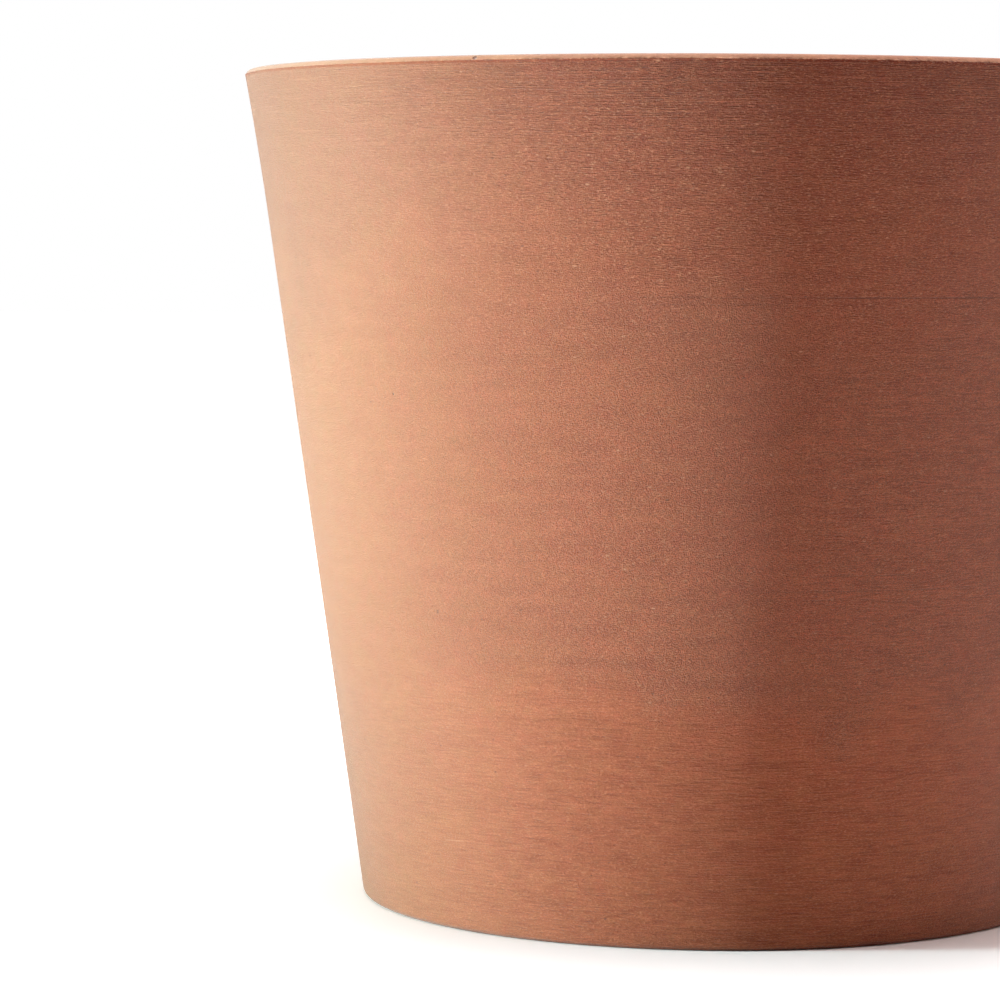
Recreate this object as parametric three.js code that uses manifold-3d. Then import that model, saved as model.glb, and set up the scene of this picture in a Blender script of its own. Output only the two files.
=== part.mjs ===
// A tapered round cachepot, moulded in a stone-filled plastic and turned smooth on the outside, with a rubber
// drain plug that sits in a recessed seat in the middle of its floor and lifts out through the mouth.
// Millimetres, +Z up. The origin is on the pot's axis, on the surface that the foot ring stands on.

import * as THREE from "three";
import { mergeVertices } from "three/addons/utils/BufferGeometryUtils.js";
import Module from "manifold-3d";

// Pot body: the outside, as it is seen
const rimDiameter = 200; // the widest, at the bottom of the rim's soft outer edge
const footDiameter = 148; // where the straight wall would meet the standing surface
const potHeight = 177;
const flareHeight = 34; // the wall leans out a little more over this much below the rim's edge
const flareOut = 0.7; // how far the flare takes the rim past the straight wall
const rimEdgeWidth = 1.5; // the rim's outer edge is a low crown that meets the wall in a crease
const rimEdgeDrop = 0.8;
const footRound = 1.4; // radius between the wall and the standing face

// Pot body: the wall, the inside and the floor
const wallThickness = 5; // square to the wall
const rimInnerRound = 1.5;
const floorThickness = 5;
const floorCornerRound = 9; // between the inner wall and the floor

// Pot body: the underside
const footRingWidth = 9; // flat ring that the pot stands on
const footRecess = 4; // how far the floor's underside stands above the surface
const recessRound = 3;

// Drain seat in the floor
const drainHoleDiameter = 16;
const drainBossWidth = 10; // width of the thick collar round the hole, on the underside
const drainBossClear = 2.2; // from the collar's underside down to the surface
const edgeBreak = 0.6; // moulded edges of the seat, the hole, the collar and the foot ring's inside

// Drain plug
const plugFlangeDiameter = 30;
const plugFlangeThickness = 2;
const plugRound = 0.5;
const plugStemWall = 2.6;
const plugHollowRoof = 1.2; // rubber left between the hollow stem's inside and the flange's underside
const plugStemTaper = 0.5; // how much the stem's radius narrows towards its end
const plugBeadCount = 2;
const plugBeadRise = 0.5; // how far each sealing bead stands out of the stem
const plugBeadWidth = 1.5;
const plugEndClear = 0.9; // from the stem's end down to the surface
const plugTabLength = 15;
const plugTabWidth = 3.6;
const plugTabHeight = 6;
const plugTabShoulder = 3.5; // radius of the tab's two upper corners, seen from its side
const plugTabRound = 1.1; // softening of the tab's long edges
const plugGap = 0.3; // running clearance between the plug and its seat, all round

// How finely round things are divided
const potSegments = 96;
const plugSegments = 40;
const arcSteps = 4; // along a round that shows
const breakSteps = 1; // across a small broken edge
const flareSteps = 3;

// Places that follow from the sizes above
const rimRadius = rimDiameter / 2;
const footRadius = footDiameter / 2;
const rimEdgeBottom = potHeight - rimEdgeDrop;
const flareStart = rimEdgeBottom - flareHeight;
const wallSlope = (rimRadius - flareOut - footRadius) / rimEdgeBottom;
const wallAcross = wallThickness * Math.hypot(1, wallSlope); // the wall's thickness measured level
const floorTop = footRecess + floorThickness;
const drainHoleRadius = drainHoleDiameter / 2;
const seatRadius = plugFlangeDiameter / 2 + plugGap;
const plugFlangeTop = floorTop; // the plug's flange lies flush with the floor
const plugFlangeUnderside = plugFlangeTop - plugFlangeThickness;
const seatTop = plugFlangeUnderside - plugGap;

/** Radius of the pot's outside at height z: a straight taper, then a slight parabolic flare under the rim. */
function outerRadius(z) {
  const intoFlare = Math.max(0, (z - flareStart) / flareHeight);
  return footRadius + wallSlope * z + flareOut * intoFlare ** 2;
}

/** Radius of the pot's inside at height z. */
function innerRadius(z) {
  return outerRadius(z) - wallAcross;
}

/** A profile corner at radius r and height z, to be rounded by an arc of the given radius. */
function corner(r, z, round = 0, steps = arcSteps) {
  return { at: new THREE.Vector2(r, z), round, steps };
}

/** Points of the arc that rounds a corner between the corners before and after it. */
function arcAtCorner(before, { at, round, steps }, after) {
  const back = before.at.clone().sub(at).normalize();
  const ahead = after.at.clone().sub(at).normalize();
  const halfAngle = Math.acos(THREE.MathUtils.clamp(back.dot(ahead), -1, 1)) / 2;
  const toTangent = round / Math.tan(halfAngle);
  const centre = at.clone().addScaledVector(back.clone().add(ahead).normalize(), round / Math.sin(halfAngle));
  const from = at.clone().addScaledVector(back, toTangent).sub(centre);
  const to = at.clone().addScaledVector(ahead, toTangent).sub(centre);
  const sweep = Math.atan2(from.cross(to), from.dot(to));
  const origin = new THREE.Vector2();
  return Array.from({ length: steps + 1 }, (_, i) =>
    from.clone().rotateAround(origin, (sweep * i) / steps).add(centre),
  );
}

/** Outline points of a closed loop of corners: those with no radius stay sharp, the others become arcs. */
function loopOutline(corners) {
  return corners.flatMap((here, i) => {
    if (here.round === 0) return [here.at];
    return arcAtCorner(corners.at(i - 1), here, corners[(i + 1) % corners.length]);
  });
}

/** Corners that follow a radius formula from one height to another, through the flare. */
function flareCorners(radiusAt, fromZ, toZ) {
  return Array.from({ length: flareSteps + 1 }, (_, i) => {
    const z = THREE.MathUtils.lerp(fromZ, toZ, i / flareSteps);
    return corner(radiusAt(z), z);
  });
}

/** Corners of the rim's outer edge above the crease: a low arc that runs level into the rim's flat land. */
function rimEdgeCorners() {
  const radius = (rimEdgeWidth ** 2 + rimEdgeDrop ** 2) / (2 * rimEdgeDrop);
  const centre = new THREE.Vector2(rimRadius - rimEdgeWidth, potHeight - radius);
  const creaseAngle = Math.atan2(rimEdgeWidth, radius - rimEdgeDrop);
  return Array.from({ length: arcSteps }, (_, i) => {
    const angle = creaseAngle * (1 - (i + 1) / arcSteps);
    return corner(centre.x + radius * Math.sin(angle), centre.y + radius * Math.cos(angle));
  });
}

/** A mesh of a profile turned round the Z axis. */
function turned(points, segments, material) {
  const mesh = new THREE.Mesh(new THREE.LatheGeometry(points, segments), material);
  mesh.rotation.x = Math.PI / 2; // a lathe turns round Y
  return mesh;
}

/** The pot: one moulded shell, with its wall, rim, floor, foot ring and drain seat turned from one profile. */
function makePotShell() {
  const bossRadius = drainHoleRadius + drainBossWidth;
  const footRingInner = footRadius - footRingWidth;
  const corners = [
    // Underside, from the drain hole out to the foot
    corner(drainHoleRadius, drainBossClear, edgeBreak, breakSteps),
    corner(bossRadius, drainBossClear, edgeBreak, breakSteps),
    corner(bossRadius, footRecess),
    corner(footRingInner, footRecess, recessRound),
    corner(footRingInner, 0, edgeBreak, breakSteps),
    corner(footRadius, 0, footRound),
    // Outside, up over the rim
    ...flareCorners(outerRadius, flareStart, rimEdgeBottom),
    ...rimEdgeCorners(),
    // Inside, down to the floor
    corner(innerRadius(potHeight), potHeight, rimInnerRound),
    ...flareCorners(innerRadius, potHeight - rimInnerRound * 2, flareStart),
    corner(innerRadius(floorTop), floorTop, floorCornerRound),
    // Seat for the plug's flange, then the hole
    corner(seatRadius, floorTop, edgeBreak, breakSteps),
    corner(seatRadius, seatTop),
    corner(drainHoleRadius, seatTop, edgeBreak, breakSteps),
  ];
  const profile = loopOutline(corners);
  const stonePlastic = new THREE.MeshStandardMaterial({ color: 0xb97350, roughness: 0.7, metalness: 0 });
  const shell = turned([...profile, profile[0]], potSegments, stonePlastic);
  shell.name = "pot_shell";
  return shell;
}

/** Corners of the plug's stem from its end up to the flange: a taper with rounded sealing beads. */
function stemCorners() {
  const neckRadius = drainHoleRadius - plugGap - plugBeadRise;
  const stemRadius = (z) =>
    neckRadius - plugStemTaper * THREE.MathUtils.inverseLerp(plugFlangeUnderside, plugEndClear, z);
  const beadHeights = Array.from({ length: plugBeadCount }, (_, i) =>
    THREE.MathUtils.lerp(drainBossClear, plugFlangeUnderside, (i + 0.5) / plugBeadCount),
  );
  const beads = beadHeights.flatMap((beadHeight) =>
    [-0.5, -0.25, 0, 0.25, 0.5].map((across) => {
      const z = beadHeight + across * plugBeadWidth;
      return corner(stemRadius(z) + plugBeadRise * Math.cos(across * Math.PI) ** 2, z);
    }),
  );
  return [
    corner(stemRadius(plugEndClear), plugEndClear, plugRound, breakSteps),
    ...beads,
    corner(neckRadius, plugFlangeUnderside),
  ];
}

/** The turned part of the plug: a flange on a stem that is hollow from below. */
function makeStopper(rubber) {
  const flangeRadius = plugFlangeDiameter / 2;
  const hollowRadius = drainHoleRadius - plugGap - plugBeadRise - plugStemTaper - plugStemWall;
  const hollowTop = plugFlangeUnderside - plugHollowRoof;
  const onAxis = (z) => corner(0, z);
  const profile = loopOutline([
    onAxis(hollowTop),
    corner(hollowRadius, hollowTop, plugRound, breakSteps),
    corner(hollowRadius, plugEndClear),
    ...stemCorners(),
    corner(flangeRadius, plugFlangeUnderside, plugRound, breakSteps),
    corner(flangeRadius, plugFlangeTop, plugRound, breakSteps),
    onAxis(plugFlangeTop),
  ]);
  return turned(profile, plugSegments, rubber);
}

/** The grip across the plug's top: an upright tab with round shoulders and softened edges. */
function makeTab(rubber) {
  const half = plugTabLength / 2;
  const sink = plugFlangeThickness / 2; // the tab starts inside the flange that it is moulded with
  const face = loopOutline([
    corner(-half, -sink),
    corner(half, -sink),
    corner(half, plugTabHeight, plugTabShoulder),
    corner(-half, plugTabHeight, plugTabShoulder),
  ]);
  const soft = Math.min(plugTabRound, plugTabWidth * 0.45);
  const geometry = new THREE.ExtrudeGeometry(new THREE.Shape(face), {
    depth: plugTabWidth - 2 * soft,
    bevelThickness: soft,
    bevelSize: soft,
    bevelOffset: -soft,
    bevelSegments: 2,
  });
  const tab = new THREE.Mesh(geometry, rubber);
  tab.rotation.x = Math.PI / 2;
  tab.position.set(0, plugTabWidth / 2 - soft, plugFlangeTop);
  return tab;
}

/** A mesh's geometry, placed as the mesh is, as a solid that can be joined to another. */
function solidOf(wasm, mesh) {
  mesh.updateMatrix();
  const source = mesh.geometry.index ? mesh.geometry.toNonIndexed() : mesh.geometry;
  const bare = new THREE.BufferGeometry().setAttribute("position", source.getAttribute("position").clone());
  const merged = mergeVertices(bare.applyMatrix4(mesh.matrix), 1e-4);
  const vertProperties = merged.attributes.position.array;
  const triVerts = new Uint32Array(merged.index.array);
  return new wasm.Manifold(new wasm.Mesh({ numProp: 3, vertProperties, triVerts }));
}

/** A solid turned back into geometry. */
function geometryOf(solid) {
  const { vertProperties, triVerts } = solid.getMesh();
  const geometry = new THREE.BufferGeometry();
  geometry.setAttribute("position", new THREE.BufferAttribute(vertProperties, 3));
  geometry.setIndex(new THREE.BufferAttribute(triVerts, 1));
  geometry.computeVertexNormals();
  return geometry;
}

/** The drain plug: stopper and grip tab, moulded in one. */
function makeDrainPlug(wasm) {
  const rubber = new THREE.MeshStandardMaterial({ color: 0x2b2a29, roughness: 0.65, metalness: 0 });
  const joined = solidOf(wasm, makeStopper(rubber)).add(solidOf(wasm, makeTab(rubber)));
  const plug = new THREE.Mesh(geometryOf(joined), rubber);
  plug.name = "drain_plug";
  return plug;
}

const wasm = await Module();
wasm.setup();

const cachepot = new THREE.Group();
cachepot.add(makePotShell(), makeDrainPlug(wasm));

export default cachepot;
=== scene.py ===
"""The looks of a cachepot: one turned shell of stone-filled plastic, with a rubber drain plug in its floor.

Sizes are in millimetres, as on the pot's drawing, and are made metres where a mesh or a material needs them.
+Z is up, and the origin is on the pot's axis, on the surface that it stands on. An angle round the pot is in
degrees from the front, which is -Y, towards +X.
"""

import logging
import math
from collections.abc import Callable, Iterable, Sequence
from dataclasses import dataclass
from enum import Enum
from functools import cached_property, partial, reduce
from typing import NamedTuple

import bmesh
import bpy
from mathutils import Euler, Matrix, Vector


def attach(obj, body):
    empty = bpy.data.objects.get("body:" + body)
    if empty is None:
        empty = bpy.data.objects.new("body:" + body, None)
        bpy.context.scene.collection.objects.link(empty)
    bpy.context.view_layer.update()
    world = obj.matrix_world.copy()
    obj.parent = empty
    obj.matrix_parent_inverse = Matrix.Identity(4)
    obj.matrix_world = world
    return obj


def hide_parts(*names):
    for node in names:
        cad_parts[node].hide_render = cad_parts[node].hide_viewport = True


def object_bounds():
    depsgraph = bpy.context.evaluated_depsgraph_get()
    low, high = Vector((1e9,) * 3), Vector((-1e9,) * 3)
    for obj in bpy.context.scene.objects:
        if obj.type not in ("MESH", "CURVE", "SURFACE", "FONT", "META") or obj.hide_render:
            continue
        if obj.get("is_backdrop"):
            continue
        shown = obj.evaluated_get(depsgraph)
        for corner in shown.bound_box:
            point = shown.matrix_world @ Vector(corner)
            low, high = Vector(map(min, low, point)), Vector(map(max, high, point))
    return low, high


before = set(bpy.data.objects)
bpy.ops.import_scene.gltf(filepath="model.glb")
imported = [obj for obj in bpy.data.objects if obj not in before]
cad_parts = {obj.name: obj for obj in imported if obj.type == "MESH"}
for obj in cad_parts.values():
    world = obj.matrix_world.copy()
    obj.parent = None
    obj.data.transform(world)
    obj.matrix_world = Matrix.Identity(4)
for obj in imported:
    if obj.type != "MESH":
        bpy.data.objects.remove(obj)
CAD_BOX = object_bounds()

MM = 0.001
QUARTER_TURN = math.pi / 2
SHARP_ANGLE = math.radians(30)
WALL_ATTRIBUTE = "wall"
CUT_ATTRIBUTE = "tool_cut"

log = logging.getLogger("cachepot")

Colour = tuple[float, float, float]
Pair = tuple[float, float]
Output = bpy.types.NodeSocket
Given = Output | float | int | str | Sequence[float] | bpy.types.ID

WHITE: Colour = (1.0, 1.0, 1.0)


class Body(Enum):
    """The bodies that move against each other."""

    POT = "pot"
    PLUG = "plug"


class Slot(Enum):
    """The record's material slots."""

    STONE_PLASTIC = "stone_plastic"
    RUBBER = "rubber"


class Tree(Enum):
    """The kinds of node tree."""

    SHADER = "ShaderNodeTree"
    GEOMETRY = "GeometryNodeTree"


class Socket(Enum):
    """The kinds of value that a node group takes and gives."""

    VALUE = "NodeSocketFloat"
    WHOLE = "NodeSocketInt"
    VECTOR = "NodeSocketVector"
    GEOMETRY = "NodeSocketGeometry"
    MATERIAL = "NodeSocketMaterial"


@dataclass(frozen=True)
class Port:
    """A named input or output of a node group."""

    name: str
    kind: Socket = Socket.VALUE
    value: float | int | None = None


@dataclass
class Wiring:
    """Adds nodes to one node tree and joins them."""

    tree: bpy.types.NodeTree

    @classmethod
    def group(cls, name: str, kind: Tree, inputs: Iterable[Port], output: Port) -> "Wiring":
        """Starts a node group.

        Args:
            name: the group's name.
            kind: whether it holds shader or geometry nodes.
            inputs: the group's inputs, in order.
            output: the group's output.

        Returns:
            The wiring of the empty group.
        """
        tree = bpy.data.node_groups.new(name, kind.value)
        for side, ports in (("INPUT", inputs), ("OUTPUT", (output,))):
            for port in ports:
                socket = tree.interface.new_socket(name=port.name, in_out=side, socket_type=port.kind.value)
                if port.value is not None:
                    socket.default_value = port.value
        tree.nodes.new("NodeGroupInput")
        tree.nodes.new("NodeGroupOutput")
        return cls(tree)

    def __getitem__(self, name: str) -> Output:
        """The group's own input of that name, as a source inside it."""
        return self.tree.nodes["Group Input"].outputs[name]

    def ended(self, value: Given) -> bpy.types.NodeTree:
        """Joins a value to the group's output, and returns the group."""
        self.feed(self.tree.nodes["Group Output"].inputs[0], value)
        return self.tree

    def feed(self, socket: bpy.types.NodeSocket, value: Given) -> None:
        """Links a socket to another node, or sets its own value.

        Args:
            socket: the input of a node.
            value: an output, a number, a vector, or a colour without its alpha.
        """
        if isinstance(value, bpy.types.NodeSocket):
            self.tree.links.new(value, socket)
        elif socket.type == "RGBA":
            socket.default_value = (*value, 1.0)
        else:
            socket.default_value = value

    def node(self, kind: str, inputs: dict[str, Given] | None = None, **settings: object) -> bpy.types.Node:
        """Adds a node.

        Args:
            kind: Blender's name for the kind of node.
            inputs: what its sockets take, by socket name.
            settings: its properties.

        Returns:
            The new node.
        """
        node = self.tree.nodes.new(kind)
        for name, value in settings.items():
            setattr(node, name, value)
        for name, value in (inputs or {}).items():
            socket = next(each for each in node.inputs if each.name == name and each.enabled)
            self.feed(socket, value)
        return node

    def result(self, kind: str, inputs: dict[str, Given] | None = None, **settings: object) -> Output:
        """Adds a node and returns its first output."""
        return self.node(kind, inputs, **settings).outputs[0]

    def use(self, group: bpy.types.NodeTree, inputs: dict[str, Given]) -> Output:
        """Places a node group, with its own values, and returns its output."""
        return self.result(self.tree.bl_idname.replace("Tree", "Group"), inputs, node_tree=group)

    def _worked(self, kind: str, operation: str, values: Iterable[Given]) -> Output:
        """Adds a node that works on values.

        Args:
            kind: Blender's name for the kind of node.
            operation: its name for what the node does.
            values: the values or sockets that go in, in order.

        Returns:
            The first output.
        """
        node = self.node(kind, operation=operation)
        for socket, value in zip(node.inputs, values):
            self.feed(socket, value)
        return node.outputs[0]

    def math(self, operation: str, *values: Given) -> Output:
        """Works on numbers."""
        return self._worked("ShaderNodeMath", operation, values)

    def vector(self, operation: str, *values: Given) -> Output:
        """Works on vectors, where that gives a vector."""
        return self._worked("ShaderNodeVectorMath", operation, values)

    def times(self, *values: Given) -> Output:
        """The product of numbers."""
        return reduce(partial(self.math, "MULTIPLY"), values)

    def highest(self, *values: Given) -> Given:
        """The highest of some numbers."""
        return reduce(partial(self.math, "MAXIMUM"), values)

    def plus(self, first: Given, second: Given) -> Output:
        """The sum of two numbers."""
        return self.math("ADD", first, second)

    def minus(self, number: Given, taken: Given) -> Output:
        """A number less another."""
        return self.math("SUBTRACT", number, taken)

    def over(self, number: Given, divisor: Given) -> Output:
        """A number divided by another."""
        return self.math("DIVIDE", number, divisor)

    def length(self, vector: Given) -> Output:
        """The length of a vector."""
        return self.node("ShaderNodeVectorMath", {"Vector": vector}, operation="LENGTH").outputs["Value"]

    def ramp(self, value: Given, low: Given, high: Given, at_low: Given = 0.0, at_high: Given = 1.0,
             smooth: bool = True) -> Output:
        """Turns one range of a number into another, and holds it at both ends.

        Args:
            value: the number.
            low: where the range starts.
            high: where the range ends.
            at_low: the result at the start.
            at_high: the result at the end.
            smooth: whether the change eases in and out.

        Returns:
            The result's socket.
        """
        ends = {"Value": value, "From Min": low, "From Max": high, "To Min": at_low, "To Max": at_high}
        kind = "SMOOTHSTEP" if smooth else "LINEAR"
        return self.result("ShaderNodeMapRange", ends, interpolation_type=kind)

    def blend(self, share: Given, at_none: float, at_full: float) -> Output:
        """Goes from one number to another as the share goes from 0 to 1."""
        return self.ramp(share, 0.0, 1.0, at_none, at_full)

    def across(self, place: Given, reach: Pair, at_start: float = 0.0, at_end: float = 1.0) -> Output:
        """Goes from one number to another as a place in metres passes a reach in millimetres."""
        return self.ramp(place, reach[0] * MM, reach[1] * MM, at_start, at_end)

    def noise(self, place: Given, detail: float = 0.0, roughness: float = 0.5, seed: Given = 0.0) -> Output:
        """Cloudy noise from 0 to 1 that changes over one unit of the place.

        Args:
            place: the vector that the noise reads.
            detail: how many finer layers it has.
            roughness: how strong the finer layers are.
            seed: a number that gives another pattern.

        Returns:
            The noise's socket.
        """
        inputs = {"Vector": place, "W": seed, "Scale": 1.0, "Detail": detail, "Roughness": roughness}
        return self.result("ShaderNodeTexNoise", inputs, noise_dimensions="4D")

    def mix_colour(self, share: Given, first: Given, second: Given) -> Output:
        """Goes from one colour to another.

        Args:
            share: how far it has gone, from 0 to 1.
            first: the colour at 0.
            second: the colour at 1.

        Returns:
            The mixed colour's socket.
        """
        node = self.node("ShaderNodeMix", data_type="RGBA")
        for index, value in ((0, share), (6, first), (7, second)):
            self.feed(node.inputs[index], value)
        return node.outputs[2]

    def apart(self, vector: Given) -> tuple[Output, ...]:
        """The three numbers of a vector."""
        return tuple(self.node("ShaderNodeSeparateXYZ", {"Vector": vector}).outputs)

    def together(self, x: Given, y: Given, z: Given) -> Output:
        """The vector of three numbers."""
        return self.result("ShaderNodeCombineXYZ", {"X": x, "Y": y, "Z": z})

    def counted(self, place: Given, size: Given) -> Output:
        """A place counted in sizes instead of metres."""
        return self.vector("DIVIDE", place, self.together(size, size, size))


def on_wall(angle: float, radius: float, z: float) -> Vector:
    """The place, in metres, at an angle round the axis."""
    turn = math.radians(angle)
    return Vector((radius * math.sin(turn), -radius * math.cos(turn), z)) * MM


def placed(name: str, data: bpy.types.ID | None) -> bpy.types.Object:
    """Adds an object to the scene.

    Args:
        name: the object's name.
        data: its mesh, lamp or camera.

    Returns:
        The object, at the origin.
    """
    thing = bpy.data.objects.new(name, data)
    bpy.context.scene.collection.objects.link(thing)
    return thing


def mesh_of(name: str, shape: bmesh.types.BMesh) -> bpy.types.Mesh:
    """Turns a shape into a mesh.

    Args:
        name: the mesh's name.
        shape: the shape, which is gone afterwards.

    Returns:
        The mesh.
    """
    mesh = bpy.data.meshes.new(name)
    shape.to_mesh(mesh)
    shape.free()
    return mesh


@dataclass(frozen=True)
class Corner:
    """A corner of a turned profile, at radius r and height z, rounded by an arc."""

    r: float
    z: float
    round: float = 0.0
    steps: int = 6

    @property
    def at(self) -> Vector:
        """The corner's place in the profile."""
        return Vector((self.r, self.z))

    def outline(self, before: "Corner", after: "Corner") -> list[Vector]:
        """The points of the profile at this corner.

        Args:
            before: the corner that comes before it.
            after: the corner that comes after it.

        Returns:
            The corner itself, or the points of the arc that rounds it.
        """
        if self.round == 0:
            return [self.at]
        back = (before.at - self.at).normalized()
        ahead = (after.at - self.at).normalized()
        half = back.angle(ahead) / 2
        centre = self.at + (back + ahead).normalized() * (self.round / math.sin(half))
        start = self.at + back * (self.round / math.tan(half)) - centre
        end = self.at + ahead * (self.round / math.tan(half)) - centre
        sweep = math.atan2(start.x * end.y - start.y * end.x, start.dot(end))
        turns = (Matrix.Rotation(sweep * i / self.steps, 2) for i in range(self.steps + 1))
        return [centre + turn @ start for turn in turns]


@dataclass(frozen=True)
class Profile:
    """An outline that is turned round the axis, with rows close enough for smooth shading.

    A row at the distance `hold` on each side of a bend holds the bend's shading in place.
    """

    corners: Sequence[Corner]
    closed: bool = True
    hold: float = 0.25
    fewest_holds: float = 4.0
    bend: float = math.radians(3)
    longest: float = 9.0
    wall_from: float = math.inf
    wall_longest: float = 3.0
    wall_heights: Sequence[float] = ()

    def points(self) -> list[Vector]:
        """The rows' places.

        Returns:
            The outline, with points that hold its arcs and points along its long stretches.
        """
        count = len(self.corners)
        outline = [point for i, corner in enumerate(self.corners)
                   for point in corner.outline(self.corners[i - 1], self.corners[(i + 1) % count])]
        ahead = outline[1:] + outline[:1]
        behind = outline[-1:] + outline[:-1]
        bends = [(here - before).angle(after - here, 0.0) > self.bend
                 for before, here, after in zip(behind, outline, ahead)]
        stretches = list(zip(outline, ahead, bends, bends[1:] + bends[:1]))
        if not self.closed:
            stretches.pop()
        rows = [point for stretch in stretches for point in self._stretch(*stretch)]
        return rows if self.closed else rows + outline[-1:]

    def _stretch(self, start: Vector, end: Vector, bend_at_start: bool, bend_at_end: bool) -> list[Vector]:
        """The rows of one stretch of the outline.

        Args:
            start: the outline point that it starts from.
            end: the next one.
            bend_at_start: whether the outline bends at the start.
            bend_at_end: whether it bends at the end.

        Returns:
            The rows' places, with the start and without the end.
        """
        length = (end - start).length
        if length < self.fewest_holds * self.hold:
            return [start]
        rise = end.y - start.y
        outside = min(start.x, end.x) >= self.wall_from and rise > 0
        first = self.hold / length if bend_at_start else 0.0
        last = 1 - self.hold / length if bend_at_end else 1.0
        steps = math.ceil((last - first) * length / (self.wall_longest if outside else self.longest))
        shares = {0.0, *(first + (last - first) * i / steps for i in range(steps + 1))} - {1.0}
        if outside:
            shares.update((z - start.y) / rise for z in self.wall_heights if start.y < z < end.y)
        return [start.lerp(end, share) for share in sorted(shares)]


@dataclass(frozen=True)
class ToolMark:
    """A shallow line that the turning tool left round part of the wall.

    Its middle and its reach to both sides are angles, and broken is how much of it is worn away in patches.
    """

    height: float
    middle: float
    reach: float
    depth: float = 0.05
    width: float = 0.13
    broken: float = 0.35
    row_gap: float = 0.75

    @property
    def rows(self) -> list[float]:
        """Heights of the mesh rows that carry the line across its width."""
        return [self.height + self.width * step * self.row_gap for step in range(-4, 5)]


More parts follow.
